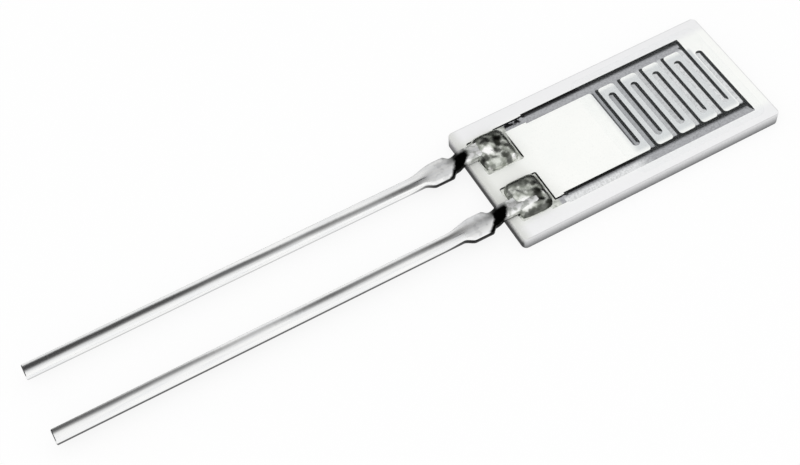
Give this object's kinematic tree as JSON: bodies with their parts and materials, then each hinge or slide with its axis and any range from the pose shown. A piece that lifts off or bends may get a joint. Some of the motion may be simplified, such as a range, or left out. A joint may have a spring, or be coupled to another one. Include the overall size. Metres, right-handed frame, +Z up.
{
  "type": "humidity sensor element",
  "caption": "Bare humidity-sensing element: a thin white ceramic plate with interleaved printed comb electrodes under a clear film, and flat tinned leads soldered to pads at one end.",
  "frame": {"origin": "middle of the ceramic plate's underside", "axes": "+Z up through the printed face; +X along the plate, away from the leads; +Y to the left lead's side"},
  "size_m": [0.0257, 0.005, 0.001],
  "materials": {
    "alumina": "matte",
    "pad_print": "satin",
    "comb_print": "satin",
    "clear_film": "gloss",
    "tinned_lead": "polished",
    "solder": "polished"
  },
  "bodies": {
    "root": {"ceramic_substrate": "alumina", "left_solder_pad": "pad_print", "right_solder_pad": "pad_print", "left_comb_electrode": "comb_print", "right_comb_electrode": "comb_print", "humidity_film": "clear_film", "left_lead": "tinned_lead", "right_lead": "tinned_lead", "left_solder_joint": "solder", "right_solder_joint": "solder"}
  },
  "joints": []
}
